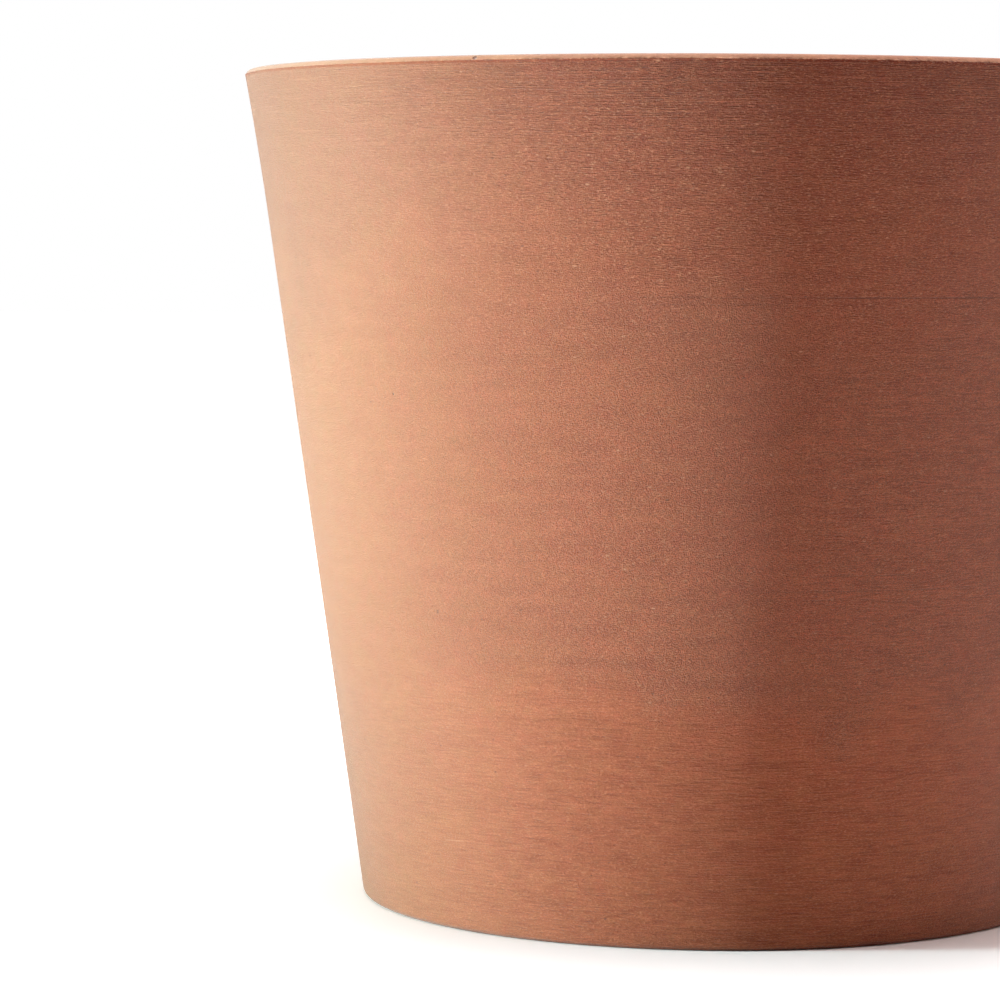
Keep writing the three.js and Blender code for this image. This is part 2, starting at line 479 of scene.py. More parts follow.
class Lathe:
    """The Geometry Nodes trees that turn a profile round the axis."""

    MERGE = 1e-6
    TURNED = (
        Port("Profile", Socket.GEOMETRY), Port("Segments", Socket.WHOLE, 96), Port("Closed", Socket.WHOLE, 1),
    )
    MARK_FADES_FROM = 0.45
    PATCHES_PER_RADIAN = 14.0
    PATCH_EDGE = (0.4, 0.58)
    RIPPLE_STRETCH = (0.12, 0.12, 1.0)

    @cached_property
    def turn_profile(self) -> bpy.types.NodeTree:
        """The group that turns the points of a profile into a closed skin.

        Column by column, a grid of one row for each point is bent round the axis, so the seam is at the back.
        """
        wiring = Wiring.group("turn profile", Tree.GEOMETRY, self.TURNED, Port("Mesh", Socket.GEOMETRY))
        profile = wiring["Profile"]
        size = wiring.node("GeometryNodeAttributeDomainSize", {"Geometry": profile}, component="MESH")
        count = size.outputs["Point Count"]
        last_row = wiring.minus(wiring.plus(count, wiring["Closed"]), 1)
        grid = wiring.result("GeometryNodeMeshGrid", {
            "Size X": 1.0,
            "Size Y": 1.0,
            "Vertices X": wiring.plus(wiring["Segments"], 1),
            "Vertices Y": wiring.plus(last_row, 1),
        })
        position = wiring.result("GeometryNodeInputPosition")
        across, up, _ = wiring.apart(position)
        row = wiring.math("ROUND", wiring.times(wiring.plus(up, 0.5), last_row))
        profile_row = {"Geometry": profile, "Index": wiring.math("MODULO", row, count)}
        place, wall = (
            wiring.result("GeometryNodeSampleIndex", profile_row | {"Value": value}, data_type=kind)
            for value, kind in ((position, "FLOAT_VECTOR"), (self._wall(wiring), "FLOAT"))
        )
        angle = wiring.times(across, 2 * math.pi)
        radius, _, height = wiring.apart(place)
        turned = wiring.together(
            wiring.times(radius, wiring.math("SINE", angle)),
            wiring.times(radius, -1.0, wiring.math("COSINE", angle)),
            height,
        )
        marked = self._kept(wiring, grid, WALL_ATTRIBUTE, wall)
        bent = wiring.result("GeometryNodeSetPosition", {"Geometry": marked, "Position": turned})
        joined = wiring.result("GeometryNodeMergeByDistance", {"Geometry": bent, "Distance": self.MERGE})
        return wiring.ended(wiring.result("GeometryNodeSetShadeSmooth", {"Geometry": joined}))

    @cached_property
    def tool_mark(self) -> bpy.types.NodeTree:
        """The group that says how deep one tool mark is at each point."""
        names = ("Height", "Middle", "Reach", "Width", "Depth", "Broken", "Seed")
        wiring = Wiring.group("tool mark", Tree.GEOMETRY, map(Port, names), Port("Cut"))
        x, y, z = wiring.apart(wiring.result("GeometryNodeInputPosition"))
        angle = wiring.math("ARCTAN2", x, wiring.times(y, -1.0))
        off = wiring.over(wiring.minus(z, wiring["Height"]), wiring["Width"])
        across = wiring.math("EXPONENT", wiring.times(off, off, -1.0))
        aside = wiring.math("ABSOLUTE", wiring.minus(angle, wiring["Middle"]))
        along = wiring.ramp(wiring.over(aside, wiring["Reach"]), self.MARK_FADES_FROM, 1.0, 1.0, 0.0)
        patches = wiring.noise(wiring.together(wiring.times(angle, self.PATCHES_PER_RADIAN), 0.0, 0.0),
                               detail=2.0, seed=wiring["Seed"])
        worn = wiring.ramp(patches, *self.PATCH_EDGE, wiring.minus(1.0, wiring["Broken"]), 1.0)
        return wiring.ended(wiring.times(across, along, worn, wiring["Depth"]))

    def plain_form(self, name: str) -> bpy.types.NodeTree:
        """A tree that turns a profile and dresses it, with inputs Profile, Segments, Closed and Material."""
        wiring = self._form(name, ())
        return self._dressed(wiring, self._turned(wiring))

    def worn_form(self, name: str, marks: Sequence[ToolMark]) -> bpy.types.NodeTree:
        """A tree that also presses a faint ripple and the tool marks into the wall, inwards only.

        Args:
            name: the tree's name.
            marks: the tool marks.

        Returns:
            The tree, with the inputs of a plain form, and Ripple Depth, Ripple Pitch and Seed.
        """
        wiring = self._form(name, map(Port, ("Ripple Depth", "Ripple Pitch", "Seed")))
        mesh = self._turned(wiring)
        cuts: Given = 0.0
        for number, mark in enumerate(marks):
            cut = wiring.use(self.tool_mark, {
                "Height": mark.height * MM, "Middle": math.radians(mark.middle),
                "Reach": math.radians(mark.reach), "Width": mark.width * MM, "Depth": mark.depth * MM,
                "Broken": mark.broken, "Seed": wiring.plus(wiring["Seed"], number),
            })
            cuts = wiring.plus(cuts, cut)
        deepest = max((mark.depth for mark in marks), default=1.0) * MM
        position = wiring.result("GeometryNodeInputPosition")
        stretched = wiring.vector("MULTIPLY", position, self.RIPPLE_STRETCH)
        place = wiring.counted(stretched, wiring["Ripple Pitch"])
        ripple = wiring.times(wiring.noise(place, detail=1.0, seed=wiring["Seed"]), wiring["Ripple Depth"])
        inward = wiring.times(wiring.plus(ripple, cuts), self._wall(wiring))
        towards_axis = wiring.vector("NORMALIZE", wiring.vector("MULTIPLY", position, (-1.0, -1.0, 0.0)))
        scaled = {"Vector": towards_axis, "Scale": inward}
        move = wiring.result("ShaderNodeVectorMath", scaled, operation="SCALE")
        # The share of the deepest cut, which the material uses to paint shade into the tool marks.
        marked = self._kept(wiring, mesh, CUT_ATTRIBUTE, wiring.over(cuts, deepest))
        pressed = wiring.result("GeometryNodeSetPosition", {"Geometry": marked, "Offset": move})
        return self._dressed(wiring, pressed)

    def _form(self, name: str, more: Iterable[Port]) -> Wiring:
        """Starts the tree of one form, with the inputs that all have and some of its own."""
        inputs = (*self.TURNED, Port("Material", Socket.MATERIAL), *more)
        return Wiring.group(name, Tree.GEOMETRY, inputs, Port("Geometry", Socket.GEOMETRY))

    def _turned(self, wiring: Wiring) -> Output:
        """Places the group that turns the profile, and returns its mesh."""
        return wiring.use(self.turn_profile, {port.name: wiring[port.name] for port in self.TURNED})

    def _wall(self, wiring: Wiring) -> Output:
        """How much of the wall's relief each point takes."""
        named = wiring.node("GeometryNodeInputNamedAttribute", {"Name": WALL_ATTRIBUTE}, data_type="FLOAT")
        return named.outputs["Attribute"]

    def _kept(self, wiring: Wiring, mesh: Output, name: str, value: Output) -> Output:
        """Keeps a number on a mesh's points under a name, and returns the mesh."""
        inputs = {"Geometry": mesh, "Name": name, "Value": value}
        return wiring.result("GeometryNodeStoreNamedAttribute", inputs, data_type="FLOAT", domain="POINT")

    def _dressed(self, wiring: Wiring, mesh: Output) -> bpy.types.NodeTree:
        """Ends a tree with real geometry in its material."""
        real = wiring.result("GeometryNodeRealizeInstances", {"Geometry": mesh})
        inputs = {"Geometry": real, "Material": wiring["Material"]}
        return wiring.ended(wiring.result("GeometryNodeSetMaterial", inputs))

    def make(self, name: str, profile: Profile, on_the_wall: Callable[[Vector], float],
             tree: bpy.types.NodeTree, inputs: dict[str, Given]) -> bpy.types.Object:
        """Runs a tree on a profile and keeps the result as a plain mesh.

        Args:
            name: the piece's name.
            profile: the outline to turn.
            on_the_wall: how much of the wall's relief a point of the profile takes, from 0 to 1.
            tree: a tree that this class made.
            inputs: the tree's inputs by name, apart from the profile.

        Returns:
            The piece, with no modifier left on it.
        """
        points = profile.points()
        mesh = bpy.data.meshes.new(name)
        vertices = [(point.x * MM, 0.0, point.y * MM) for point in points]
        mesh.from_pydata(vertices, [(i, i + 1) for i in range(len(points) - 1)], [])
        wall = mesh.attributes.new(WALL_ATTRIBUTE, "FLOAT", "POINT")
        wall.data.foreach_set("value", [on_the_wall(point) for point in points])
        piece = placed(name, mesh)
        modifier = piece.modifiers.new(tree.name, "NODES")
        modifier.node_group = tree
        sockets = {item.name: item.identifier for item in tree.interface.items_tree if item.in_out == "INPUT"}
        for socket, value in (inputs | {"Closed": int(profile.closed)}).items():
            modifier[sockets[socket]] = value
        return bake(piece)


def bake(piece: bpy.types.Object) -> bpy.types.Object:
    """Turns a piece's modifiers into its own mesh.

    Args:
        piece: the object with its modifiers.

    Returns:
        The same object, with a plain mesh and no modifiers.
    """
    graph = bpy.context.evaluated_depsgraph_get()
    mesh = bpy.data.meshes.new_from_object(piece.evaluated_get(graph), preserve_all_data_layers=True,
                                           depsgraph=graph)
    mesh.name = piece.name
    old = piece.data
    piece.modifiers.clear()
    piece.data = mesh
    bpy.data.meshes.remove(old)
    finish = next(material for material in mesh.materials if material)
    mesh.materials.clear()
    mesh.materials.append(finish)
    mesh.polygons.foreach_set("material_index", [0] * len(mesh.polygons))
    mesh.set_sharp_from_angle(angle=SHARP_ANGLE)
    return piece


class Effects:
    """Shader node groups that the finishes share, each built when it is first asked for."""

    NOISE_RANGE = (0.25, 0.75)
    SEED_SHIFT = 7.3
    SMALLEST_SPECK = 0.35
    SPECK_FADES_FROM = 0.5
    DUST_FACES_UP = (0.75, 1.0)
    DUST_PATCH_EDGE = (0.3, 0.75)

    @cached_property
    def turning_lines(self) -> bpy.types.NodeTree:
        """Short fine lines that run round the axis, on walls and on flat faces alike, from 0 to 1."""
        wiring = Wiring.group("turning lines", Tree.SHADER, [
            Port("Place", Socket.VECTOR), Port("Pitch", value=0.0003), Port("Length", value=0.003),
            Port("Seed"),
        ], Port("Line"))
        x, y, z = wiring.apart(wiring["Place"])
        radius = wiring.length(wiring.together(x, y, 0.0))
        stretched = wiring.together(
            wiring.over(x, wiring["Length"]),
            wiring.over(y, wiring["Length"]),
            wiring.over(wiring.plus(z, radius), wiring["Pitch"]),
        )
        line = wiring.noise(stretched, detail=1.0, seed=wiring["Seed"])
        return wiring.ended(wiring.ramp(line, *self.NOISE_RANGE, smooth=False))

    @cached_property
    def moulded_grain(self) -> bpy.types.NodeTree:
        """The fine uneven skin of a moulded or sanded surface, from 0 to 1."""
        wiring = Wiring.group("moulded grain", Tree.SHADER, [
            Port("Place", Socket.VECTOR), Port("Size", value=0.0005), Port("Seed"),
        ], Port("Grain"))
        place = wiring.counted(wiring["Place"], wiring["Size"])
        grain = wiring.noise(place, detail=2.0, roughness=0.55, seed=wiring["Seed"])
        return wiring.ended(wiring.ramp(grain, *self.NOISE_RANGE, smooth=False))

    @cached_property
    def specks(self) -> bpy.types.NodeTree:
        """Scattered specks, drawn out round the axis, as a mask."""
        wiring = Wiring.group("specks", Tree.SHADER, [
            Port("Place", Socket.VECTOR), Port("Spacing", value=0.004), Port("Size", value=0.0003),
            Port("Stretch", value=1.0), Port("Share", value=0.5), Port("Seed"),
        ], Port("Mask"))
        x, y, z = wiring.apart(wiring["Place"])
        spacing = wiring["Spacing"]
        drawn = wiring.times(spacing, wiring["Stretch"])
        place = wiring.together(
            wiring.plus(wiring.over(x, drawn), wiring.times(wiring["Seed"], self.SEED_SHIFT)),
            wiring.over(y, drawn),
            wiring.over(z, spacing),
        )
        cells = wiring.node("ShaderNodeTexVoronoi", {"Vector": place, "Scale": 1.0, "Randomness": 1.0})
        chance, big, _ = wiring.node("ShaderNodeSeparateColor", {"Color": cells.outputs["Color"]}).outputs
        radius = wiring.times(wiring.over(wiring["Size"], spacing), wiring.plus(big, self.SMALLEST_SPECK))
        off = wiring.over(cells.outputs["Distance"], radius)
        inside = wiring.ramp(off, self.SPECK_FADES_FROM, 1.0, 1.0, 0.0)
        return wiring.ended(wiring.times(inside, wiring.math("LESS_THAN", chance, wiring["Share"])))

    @cached_property
    def settled_dust(self) -> bpy.types.NodeTree:
        """A thin patchy film on faces that look up, as a mask."""
        wiring = Wiring.group("settled dust", Tree.SHADER, [
            Port("Place", Socket.VECTOR), Port("Normal", Socket.VECTOR), Port("Patch", value=0.012),
            Port("Amount", value=0.3),
        ], Port("Mask"))
        level = wiring.ramp(wiring.apart(wiring["Normal"])[2], *self.DUST_FACES_UP)
        patches = wiring.noise(wiring.counted(wiring["Place"], wiring["Patch"]), detail=4.0, roughness=0.65)
        patches = wiring.ramp(patches, *self.DUST_PATCH_EDGE)
        return wiring.ended(wiring.times(level, patches, wiring["Amount"]))


LATHE = Lathe()
EFFECTS = Effects()


class Lines(NamedTuple):
    """A layer of turning lines."""

    pitch: float
    length: float
    seed: int


class Grain(NamedTuple):
    """A layer of moulded grain, fine or in patches."""

    size: float
    seed: int


class Specks(NamedTuple):
    """One kind of speck."""

    spacing: float
    size: float
    share: float
    seed: int
    stretch: float = 1.0


class Dust(NamedTuple):
    """Settled dust."""

    patch: float
    amount: float


@dataclass
class Skin(Wiring):
    """The wiring of one material, with the layers that the finishes are made of."""

    material: bpy.types.Material

    @classmethod
    def start(cls, name: str) -> "Skin":
        """Starts a material.

        Args:
            name: the material's name.

        Returns:
            The wiring of the plain material.
        """
        material = bpy.data.materials.new(name)
        material.use_nodes = True
        return cls(material.node_tree, material)

    @cached_property
    def place(self) -> Output:
        """The object coordinates."""
        return self.node("ShaderNodeTexCoord").outputs["Object"]

    def effect(self, group: bpy.types.NodeTree, **inputs: Given) -> Output:
        """Places a shared effect at the object coordinates."""
        return self.use(group, {"Place": self.place, **inputs})

    def lines(self, layer: Lines) -> Output:
        """A layer of turning lines, from 0 to 1."""
        return self.effect(EFFECTS.turning_lines, Pitch=layer.pitch * MM, Length=layer.length * MM,
                           Seed=float(layer.seed))

    def grain(self, layer: Grain) -> Output:
        """A layer of moulded grain, from 0 to 1."""
        return self.effect(EFFECTS.moulded_grain, Size=layer.size * MM, Seed=float(layer.seed))

    def specks(self, layer: Specks) -> Output:
        """The mask of one kind of speck."""
        return self.effect(EFFECTS.specks, Spacing=layer.spacing * MM, Size=layer.size * MM,
                           Stretch=layer.stretch, Share=layer.share, Seed=float(layer.seed))

    def dust(self, layer: Dust) -> Output:
        """The mask of the settled dust."""
        normal = self.node("ShaderNodeNewGeometry").outputs["Normal"]
        return self.effect(EFFECTS.settled_dust, Normal=normal, Patch=layer.patch * MM, Amount=layer.amount)

    def weighted(self, layers: Iterable[tuple[Output, Given]]) -> Output:
        """Adds layers up.

        Args:
            layers: outputs that go from 0 to 1, each with its weight.

        Returns:
            The sum of the layers, each taken from its middle and times its weight.
        """
        total: Given = 0.0
        for layer, weight in layers:
            total = self.math("MULTIPLY_ADD", self.minus(layer, 0.5), weight, total)
        return total

    def uneven(self, layer: Output, spread: float, middle: float) -> Output:
        """A number that a layer from 0 to 1 moves about its middle."""
        return self.plus(self.times(layer, spread), middle - spread / 2)

    def bump(self, height: Output, depth: float) -> Output:
        """The normal of a relief, from its height and its depth."""
        return self.result("ShaderNodeBump", {"Strength": 1.0, "Distance": depth * MM, "Height": height})

    def surface(self, inputs: dict[str, Given]) -> bpy.types.Material:
        """Ends the material.

        Args:
            inputs: what its shader's sockets take, by name.

        Returns:
            The material.
        """
        shader = self.tree.nodes["Principled BSDF"]
        for name, value in inputs.items():
            self.feed(shader.inputs[name], value)
        return self.material


class Trace(Enum):
    """What a single small mark on the surface is."""

    PIT = "pit"
    SMEAR = "smear"


@dataclass(frozen=True)
class Blemish:
    """One small mark at a place on the outside, solid up to a share of its size and faded out at its edge."""

    kind: Trace
    angle: float
    radius: float
    height: float
    length: float
    width: float
    tilt: float = 0.0
    strength: float = 1.0
    depth: float = 1.5
    solid: float = 0.45

    def mask(self, skin: Skin) -> Output:
        """Draws the mark.

        Args:
            skin: the material's wiring.

        Returns:
            A mask that is the mark's strength inside it and 0 outside.
        """
        place = skin.result("ShaderNodeMapping", {
            "Vector": skin.place,
            "Location": on_wall(self.angle, self.radius, self.height),
            "Rotation": (0.0, math.radians(-self.tilt), math.radians(self.angle)),
            "Scale": Vector((self.length / 2, self.depth, self.width / 2)) * MM,
        }, vector_type="TEXTURE")
        return skin.ramp(skin.length(place), self.solid, 1.0, self.strength, 0.0)


class Zones(NamedTuple):
    """How far a point lies in each zone of the wall, from 0 to 1."""

    above: Output
    sanded: Output
    streaked: Output
    below: Output


@dataclass(frozen=True)
class StonePlastic:
    """Matte terracotta-coloured plastic filled with stone powder, with fine turning lines and specks.

    A tone multiplies the colour in its zone. A reach is where a zone's edge starts and ends: two heights, or
    two places from left to right. Weights are a layer's strengths outside and inside its zone.
    """

    shade: Colour = (0.366, 0.085, 0.0330)
    light: Colour = (0.700, 0.223, 0.103)
    fleck: Colour = (0.880, 0.460, 0.270)
    # Colour of the dark specks and pits, also painted into the tool-mark grooves as painted shade.
    speck_and_groove_shade: Colour = (0.170, 0.065, 0.045)
    dust: Colour = (0.640, 0.500, 0.420)
    sheen_tint: Colour = (0.62, 0.86, 0.90)
    ruddy: Colour = (1.03, 0.955, 0.99)
    ochre: Colour = (0.975, 1.045, 1.0)
    rosy: Colour = (1.00, 0.96, 1.05)
    foot_tone: Colour = (1.00, 0.975, 0.88)
    # Pale tone of the rim's soft edge, partly a painted highlight of the light from above.
    rim_tone_and_painted_highlight: Colour = (0.885, 1.40, 1.45)
    # Painted shade: a darker, redder line just under the rim's edge.
    painted_shade_under_rim: Colour = (0.92, 0.64, 0.44)
    # Painted light: the left side, which faces the key lamp, is painted paler and less red.
    painted_lit_side_tone: Colour = (0.745, 1.145, 1.29)
    # Painted shade: the upper zone is painted a little darker.
    upper_painted_shade: Colour = (0.97, 0.945, 0.94)
    # Paler tone of the sanded zone halfway up the wall, partly painted light.
    sanded_tone_and_painted_light: Colour = (1.24, 1.21, 1.14)
    roughness: float = 0.58
    roughness_spread: float = 0.12
    relief: float = 0.32
    sheen: float = 0.43
    above_reach: Pair = (128.0, 164.0)
    below_reach: Pair = (84.0, 50.0)
    streaked_reach: Pair = (2.0, 38.0)
    drawn_reach: Pair = (148.0, 174.0)
    foot_reach: Pair = (0.0, 85.0)
    rim_reach: Pair = (175.97, 176.03)
    # Heights of the painted shade under the rim's edge.
    painted_shade_under_rim_reach: Pair = (175.35, 175.65)
    # From where the painted light on the lit left side starts to where it is full, left to right.
    painted_lit_side_reach: Pair = (-10.0, -90.0)
    rubbed_reach: Pair = (-85.0, 0.0)
    plain_rim_reach: Pair = (176.0, 176.3)
    wander: Grain = Grain(22.0, 7)
    wander_rise: float = 30.0
    fine: Lines = Lines(0.20, 1.6, 1)
    fine_weights: Pair = (0.04, 0.66)
    drawn: Lines = Lines(0.24, 15.0, 15)
    drawn_range: Pair = (0.42, 0.92)
    drawn_weights: Pair = (0.05, 0.44)
    coarse: Lines = Lines(0.36, 4.0, 2)
    coarse_weights: Pair = (0.04, 0.48)
    streak_weights: Pair = (0.0, 0.46)
    sanding: Grain = Grain(0.22, 4)
    sanding_weights: Pair = (0.48, 1.24)
    sanding_below: Pair = (0.0, -0.14)
    short: Lines = Lines(0.22, 0.6, 9)
    short_weight: float = 0.34
    broad: Sequence[Lines] = (Lines(2.6, 30.0, 3), Lines(3.2, 7.0, 10))
    broad_weight: float = 0.20
    small_patches: Grain = Grain(2.4, 14)
    broad_patches: Grain = Grain(14.0, 8)
    contrast: float = 1.34
    rubbed_contrast: float = 0.34
    rim_contrast: float = 0.35
    # How much of the lit side's painted light the rim keeps.
    painted_lit_side_on_rim: float = 0.3
    flecks: Specks = Specks(1.6, 0.20, 0.5, 5, 2.0)
    fleck_strength: float = 0.85
    flecks_below: float = 0.45
    short_fleck_range: Pair = (0.62, 0.86)
    short_fleck_strength: float = 0.55
    specks: Specks = Specks(1.7, 0.19, 0.3, 6, 1.7)
    speck_strength: float = 0.55
    # Painted shade in the tool-mark grooves.
    groove_painted_shade: float = 0.6
    film: Dust = Dust(12.0, 0.22)
    blemishes: Sequence[Blemish] = ()

    def material(self) -> bpy.types.Material:
        """The finish as a material that reads object coordinates.

        Returns:
            The material.
        """
        skin = Skin.start(Slot.STONE_PLASTIC.value)
        x, _, z = skin.apart(skin.place)
        zones = self._zones(skin, x, z)
        short = skin.lines(self.short)
        relief = self._relief(skin, z, zones, short)
        broad = skin.weighted((skin.lines(layer), self.broad_weight) for layer in self.broad)
        rubbed = skin.times(skin.across(x, self.rubbed_reach, self.rubbed_contrast),
                            skin.across(z, self.plain_rim_reach, 1.0, self.rim_contrast))
        tone = skin.math("MULTIPLY_ADD", relief, self.contrast, broad)
        tone = skin.math("MULTIPLY_ADD", tone, rubbed, 0.5)
        pits = self._traces(skin, Trace.PIT)
        colour = self._tinted(skin, x, z, zones, skin.mix_colour(tone, self.shade, self.light))
        for mask, over in (
            (self._flecks(skin, short, zones, rubbed), self.fleck),
            (skin.times(skin.specks(self.specks), self.speck_strength), self.speck_and_groove_shade),
            # painted shade in the tool-mark grooves, by the depth of their cut
            (skin.times(skin.node("ShaderNodeAttribute", attribute_name=CUT_ATTRIBUTE).outputs["Fac"],
                        self.groove_painted_shade), self.speck_and_groove_shade),
            (pits, self.speck_and_groove_shade),
            (self._traces(skin, Trace.SMEAR), self.fleck),
            (skin.dust(self.film), self.dust),
        ):
            colour = skin.mix_colour(mask, colour, over)
        return skin.surface({
            "Base Color": colour,
            "Roughness": skin.uneven(tone, self.roughness_spread, self.roughness),
            "Normal": skin.bump(skin.minus(skin.times(relief, rubbed), pits), self.relief),
            "IOR": 1.5,
            "Specular IOR Level": 0.2,
            "Sheen Weight": self.sheen,
            "Sheen Roughness": 0.5,
            "Sheen Tint": self.sheen_tint,
        })

    def _zones(self, skin: Skin, x: Output, z: Output) -> Zones:
        """Parts the wall into zones, with edges that wander up and down.

        Args:
            skin: the material's wiring.
            x: the place from left to right.
            z: the height.

        Returns:
            How far each point lies in each zone.
        """
        level = skin.math("MULTIPLY_ADD", skin.grain(self.wander), self.wander_rise * MM, z)
        above = skin.across(level, self.above_reach)
        below = skin.across(level, self.below_reach)
        sanded = skin.minus(1.0, skin.highest(above, below))
        return Zones(above, sanded, skin.times(sanded, skin.across(x, self.streaked_reach)), below)

    def _relief(self, skin: Skin, z: Output, zones: Zones, short: Output) -> Output:
        """The fine relief: streaks above, sanded grain half way up and coarser streaks below.

        Args:
            skin: the material's wiring.
            z: the height.
            zones: the zones of the wall.
            short: the shortest lines, which are the same at every height.

        Returns:
            The sum of the layers, about 0.
        """
        coarse = skin.lines(self.coarse)
        sanding = skin.grain(self.sanding)
        return skin.weighted((
            (skin.lines(self.fine), skin.blend(zones.above, *self.fine_weights)),
            (skin.ramp(skin.lines(self.drawn), *self.drawn_range),
             skin.across(z, self.drawn_reach, *self.drawn_weights)),
            (coarse, skin.blend(zones.below, *self.coarse_weights)),
            (coarse, skin.blend(zones.streaked, *self.streak_weights)),
            (sanding, skin.blend(zones.sanded, *self.sanding_weights)),
            (sanding, skin.blend(zones.below, *self.sanding_below)),
            (short, self.short_weight),
        ))

    def _tinted(self, skin: Skin, x: Output, z: Output, zones: Zones, colour: Output) -> Output:
        """Tints the colour with patches, the foot's tone and the zones' tones, some of which paint light or
        shade:
        a pale rim that is partly a painted highlight, painted shade under the rim and in the upper zone, a
        paler sanded zone that is partly painted light, and painted light on the lit left side.

        Args:
            skin: the material's wiring.
            x: the place from left to right.
            z: the height.
            zones: the zones of the wall.
            colour: the colour to tint.

        Returns:
            The tinted colour.
        """
        rim = skin.across(z, self.rim_reach)
        # Painted light on the lit left side, weaker on the rim.
        worn = skin.times(skin.across(x, self.painted_lit_side_reach), skin.blend(rim, 1.0, self.painted_lit_side_on_rim))
        colour = skin.vector("MULTIPLY", colour,
                             skin.mix_colour(skin.grain(self.small_patches), self.ruddy, self.ochre))
        for share, tone in (
            (skin.grain(self.broad_patches), self.rosy),
            (skin.across(z, self.foot_reach, 1.0, 0.0), self.foot_tone),
            # pale rim, partly a painted highlight
            (rim, self.rim_tone_and_painted_highlight),
            # painted light on the lit left side
            (worn, self.painted_lit_side_tone),
            # painted shade in the upper zone
            (zones.above, self.upper_painted_shade),
            # paler sanded zone, partly painted light
            (zones.sanded, self.sanded_tone_and_painted_light),
            # painted shade just under the rim's edge
            (skin.minus(skin.across(z, self.painted_shade_under_rim_reach), rim), self.painted_shade_under_rim),
        ):
            colour = skin.vector("MULTIPLY", colour, skin.mix_colour(share, WHITE, tone))
        return colour

    def _flecks(self, skin: Skin, short: Output, zones: Zones, rubbed: Output) -> Output:
        """The pale flecks, also on the shortest lines, fewer below and where the wall is rubbed.

        Args:
            skin: the material's wiring.
            short: the shortest lines.
            zones: the zones of the wall.
            rubbed: how clear the marks are where the wall is rubbed smooth.

        Returns:
            The flecks' mask.
        """
        flecks = skin.highest(skin.times(skin.specks(self.flecks), self.fleck_strength),
                              skin.ramp(short, *self.short_fleck_range, 0.0, self.short_fleck_strength))
        return skin.times(flecks, skin.times(rubbed, skin.blend(zones.below, 1.0, self.flecks_below), rubbed))

    def _traces(self, skin: Skin, kind: Trace) -> Given:
        """The mask of all the blemishes of one kind."""
        masks = (blemish.mask(skin) for blemish in self.blemishes if blemish.kind is kind)
        return skin.highest(0.0, *masks)


@dataclass(frozen=True)
class Rubber:
    """Dull black moulded rubber, with a fine grain, faint turned marks and a little settled dust."""

    dark: Colour = (0.012, 0.012, 0.0115)
    light: Colour = (0.030, 0.030, 0.0285)
    dust: Colour = (0.300, 0.230, 0.190)
    roughness: float = 0.62
    roughness_spread: float = 0.16
    relief: float = 0.02
    grain: Grain = Grain(0.35, 11)
    grain_in_tone: float = 0.6
    lines: Lines = Lines(0.45, 8.0, 12)
    lines_in_tone: float = 0.4
    lines_in_relief: float = 0.35
    bits: Specks = Specks(1.9, 0.3, 0.25, 13)
    bit_strength: float = 0.35
    film: Dust = Dust(5.0, 0.14)

    def material(self) -> bpy.types.Material:
        """The finish as a material that reads object coordinates.

        Returns:
            The material.
        """
        skin = Skin.start(Slot.RUBBER.value)
        grain = skin.grain(self.grain)
        lines = skin.lines(self.lines)
        tone = skin.math("MULTIPLY_ADD", lines, self.lines_in_tone, skin.times(grain, self.grain_in_tone))
        dusty = skin.highest(skin.dust(self.film), skin.times(skin.specks(self.bits), self.bit_strength))
        height = skin.math("MULTIPLY_ADD", lines, self.lines_in_relief, grain)
        return skin.surface({
            "Base Color": skin.mix_colour(dusty, skin.mix_colour(tone, self.dark, self.light), self.dust),
            "Roughness": skin.uneven(grain, self.roughness_spread, self.roughness),
            "Normal": skin.bump(height, self.relief),
            "IOR": 1.52,
        })


@dataclass(frozen=True)
class DrainSeat:
    """The hole in the floor and the recess that the plug's flange sits in."""

    hole_radius: float = 8.0
    gap: float = 0.3
    flange_radius: float = 15.0
    flange_thickness: float = 2.0
    floor_top: float = 9.0
    collar_under: float = 2.2
    collar_width: float = 10.0

    @property
    def seat_radius(self) -> float:
        """Radius of the recess."""
        return self.flange_radius + self.gap

    @property
    def flange_under(self) -> float:
        """Height of the flange's underside."""
        return self.floor_top - self.flange_thickness

    @property
    def seat_top(self) -> float:
        """Height of the recess's flat face."""
        return self.flange_under - self.gap


